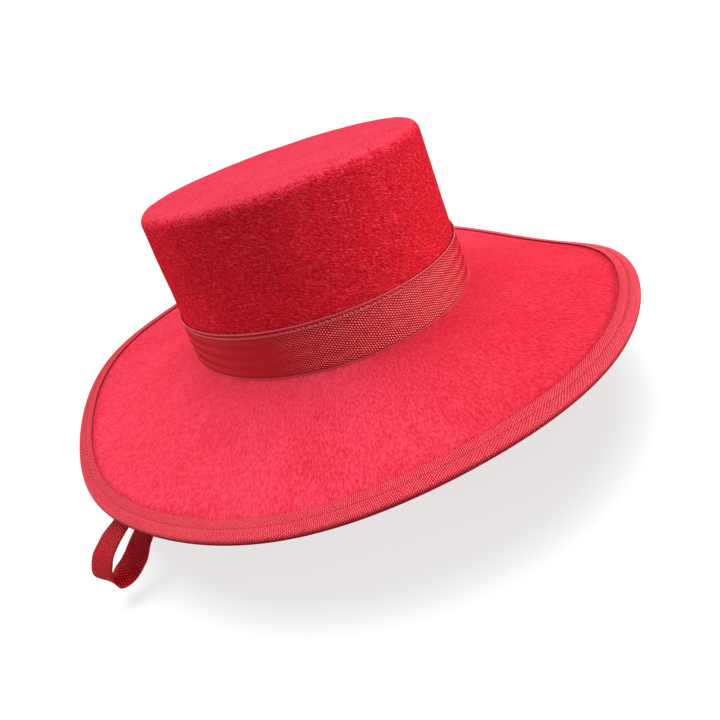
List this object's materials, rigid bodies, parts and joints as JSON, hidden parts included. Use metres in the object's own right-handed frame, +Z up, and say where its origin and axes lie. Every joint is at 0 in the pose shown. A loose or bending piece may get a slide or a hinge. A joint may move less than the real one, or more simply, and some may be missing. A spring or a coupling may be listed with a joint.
{
  "type": "cordobes hat",
  "caption": "Flat-crowned wide-brimmed felt hat with a ribbon band, a bound brim edge and a ribbon chin strap looped below the brim.",
  "frame": {"origin": "middle of the head opening, at the height where the crown's outer face meets the brim", "axes": "+Z up along the crown, -Y the way the wearer faces, +X the wearer's left"},
  "size_m": [0.3789, 0.3777, 0.1622],
  "materials": {
    "red_felt": "short brushed nap, matte",
    "ribbon": "ribbed grosgrain, slight sheen",
    "strap_ribbon": "ribbed grosgrain, slight sheen"
  },
  "bodies": {
    "root": {"felt_body": "red_felt", "crown_band": "ribbon", "brim_binding": "ribbon", "chin_strap": "strap_ribbon"}
  },
  "joints": []
}
